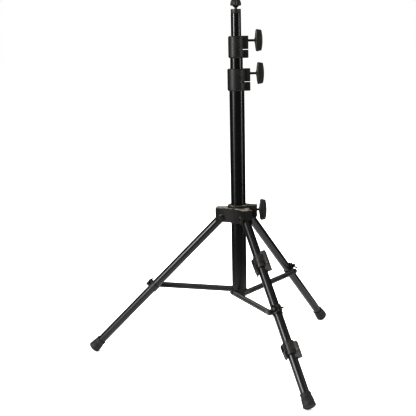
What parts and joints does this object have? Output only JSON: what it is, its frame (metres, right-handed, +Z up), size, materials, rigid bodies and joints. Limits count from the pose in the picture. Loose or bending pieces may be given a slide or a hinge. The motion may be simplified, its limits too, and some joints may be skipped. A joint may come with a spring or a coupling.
{
  "type": "speaker tripod stand",
  "caption": "Folding tripod stand for a loudspeaker: telescopic column with T-handle collars, sliding shoulder, braced legs and a levelling leg.",
  "frame": {"origin": "on the axis of the column, on the floor plane that the three feet stand on", "axes": "+Z up along the column; +X to the side that the two collar T-handles point to; the levelling leg points to azimuth 290.2 degrees"},
  "size_m": [0.69, 0.7229, 0.947],
  "materials": {
    "black_tube": "gloss black powder coat",
    "black_casting": "satin black cast aluminium",
    "black_steel_bar": "satin black pressed steel",
    "black_steel_fastener": "black oxide steel",
    "black_plastic": "fine textured moulding",
    "grey_nylon": "moulded nylon",
    "black_rubber": "matte"
  },
  "bodies": {
    "column": {"lower_tube": "black_tube", "brace_hub": "black_casting", "column_end_cap": "black_plastic", "hub_pivot_bolts": "black_steel_fastener", "lower_collar": "black_casting", "lower_collar_bush": "grey_nylon", "lower_pinch_bolt": "black_steel_fastener", "lower_brake_pad": "grey_nylon"},
    "lower_knob": {"lower_knob_screw": "black_steel_fastener", "lower_knob_handle": "black_plastic"},
    "middle_stage": {"middle_tube": "black_tube", "middle_guide": "grey_nylon", "upper_collar": "black_casting", "upper_collar_bush": "grey_nylon", "upper_pinch_bolt": "black_steel_fastener", "upper_brake_pad": "grey_nylon"},
    "upper_knob": {"upper_knob_screw": "black_steel_fastener", "upper_knob_handle": "black_plastic"},
    "top_stage": {"top_tube": "black_tube", "top_guide": "grey_nylon", "top_plug": "black_plastic", "top_stud": "black_steel_fastener"},
    "stud_knob": {"top_knob": "black_plastic"},
    "shoulder": {"shoulder_casting": "black_casting", "shoulder_liner": "grey_nylon", "liner_screws": "black_steel_fastener", "leg_pivot_bolts": "black_steel_fastener", "leg_pivot_nuts": "black_steel_fastener", "shoulder_brake_pad": "grey_nylon"},
    "shoulder_knob": {"shoulder_knob_screw": "black_steel_fastener", "shoulder_knob_handle": "black_plastic"},
    "left_leg": {"left_leg_tube": "black_tube", "left_leg_plug": "black_plastic", "left_foot": "black_rubber", "left_bracket": "black_casting", "left_bracket_bolt": "black_steel_fastener"},
    "right_leg": {"right_leg_tube": "black_tube", "right_leg_plug": "black_plastic", "right_foot": "black_rubber", "right_bracket": "black_casting", "right_bracket_bolt": "black_steel_fastener"},
    "front_leg": {"front_leg_carrier": "black_steel_bar", "carrier_rivets": "black_steel_fastener", "front_bracket": "black_casting", "front_bracket_bolt": "black_steel_fastener", "upper_clamp": "black_casting", "upper_clamp_pins": "black_steel_fastener", "lower_clamp": "black_casting", "lower_clamp_pins": "black_steel_fastener"},
    "upper_lever": {"upper_clamp_lever": "black_plastic"},
    "lower_lever": {"lower_clamp_lever": "black_plastic"},
    "levelling_tube": {"front_leg_tube": "black_tube", "front_leg_cap": "black_plastic", "front_foot": "black_rubber"},
    "left_brace_arm": {"left_brace": "black_steel_bar", "left_brace_rivet": "black_steel_fastener"},
    "right_brace_arm": {"right_brace": "black_steel_bar", "right_brace_rivet": "black_steel_fastener"},
    "front_brace_arm": {"front_brace": "black_steel_bar", "front_brace_rivet": "black_steel_fastener"}
  },
  "joints": [
    {"name": "middle_slide", "type": "slide", "parent": "column", "child": "middle_stage", "axis": [0, 0, 1], "range_m": [-0.026, 0.42]},
    {"name": "top_slide", "type": "slide", "parent": "middle_stage", "child": "top_stage", "axis": [0, 0, 1], "range_m": [-0.046, 0.44]},
    {"name": "stud_knob_lift", "type": "slide", "parent": "top_stage", "child": "stud_knob", "axis": [0, 0, 1], "range_m": [0, 0.02]},
    {"name": "lower_knob_turn", "type": "hinge", "parent": "column", "child": "lower_knob", "pos_m": [0.05, 0, 0.7579], "axis": [1, 0, 0], "range_deg": [0, 360]},
    {"name": "upper_knob_turn", "type": "hinge", "parent": "middle_stage", "child": "upper_knob", "pos_m": [0.05, 0, 0.8408], "axis": [1, 0, 0], "range_deg": [0, 360]},
    {"name": "shoulder_slide", "type": "slide", "parent": "column", "child": "shoulder", "axis": [0, 0, 1], "range_m": [0, 0.2933]},
    {"name": "shoulder_knob_turn", "type": "hinge", "parent": "shoulder", "child": "shoulder_knob", "pos_m": [0.04927, -0.00851, 0.4045], "axis": [0.9854, -0.1702, 0], "range_deg": [0, 360]},
    {"name": "right_leg_fold", "type": "hinge", "parent": "shoulder", "child": "right_leg", "pos_m": [0.02765, 0.03319, 0.385], "axis": [-0.7683, 0.6401, 0], "range_deg": [0, 40.31]},
    {"name": "right_brace_fold", "type": "hinge", "parent": "column", "child": "right_brace_arm", "pos_m": [0, 0, 0.1814], "axis": [0.7683, -0.6401, 0], "range_deg": [0, 72.45]},
    {"name": "left_leg_fold", "type": "hinge", "parent": "shoulder", "child": "left_leg", "pos_m": [-0.04257, 0.00735, 0.385], "axis": [-0.1702, -0.9854, 0], "range_deg": [0, 40.31]},
    {"name": "left_brace_fold", "type": "hinge", "parent": "column", "child": "left_brace_arm", "pos_m": [0, 0, 0.1814], "axis": [0.1702, 0.9854, 0], "range_deg": [0, 72.45]},
    {"name": "front_leg_fold", "type": "hinge", "parent": "shoulder", "child": "front_leg", "pos_m": [0.01492, -0.04054, 0.385], "axis": [0.9385, 0.3453, 0], "range_deg": [0, 40.31]},
    {"name": "front_brace_fold", "type": "hinge", "parent": "column", "child": "front_brace_arm", "pos_m": [0, 0, 0.1814], "axis": [-0.9385, -0.3453, 0], "range_deg": [0, 72.45]},
    {"name": "levelling_slide", "type": "slide", "parent": "front_leg", "child": "levelling_tube", "axis": [0.2412, -0.6555, -0.7157], "range_m": [0, 0.11]},
    {"name": "upper_lever_open", "type": "hinge", "parent": "front_leg", "child": "upper_lever", "pos_m": [0.03373, -0.13744, 0.28516], "axis": [-0.2471, 0.6717, -0.6984], "range_deg": [0, 100]},
    {"name": "lower_lever_open", "type": "hinge", "parent": "front_leg", "child": "lower_lever", "pos_m": [0.09209, -0.29606, 0.11196], "axis": [-0.2471, 0.6717, -0.6984], "range_deg": [0, 100]}
  ],
  "couplings": [
    {"joint": "right_leg_fold", "follows": "shoulder_slide", "rad_per_m": 2.3981},
    {"joint": "right_brace_fold", "follows": "shoulder_slide", "rad_per_m": 4.3105},
    {"joint": "left_leg_fold", "follows": "shoulder_slide", "rad_per_m": 2.3981},
    {"joint": "left_brace_fold", "follows": "shoulder_slide", "rad_per_m": 4.3105},
    {"joint": "front_leg_fold", "follows": "shoulder_slide", "rad_per_m": 2.3981},
    {"joint": "front_brace_fold", "follows": "shoulder_slide", "rad_per_m": 4.3105}
  ]
}
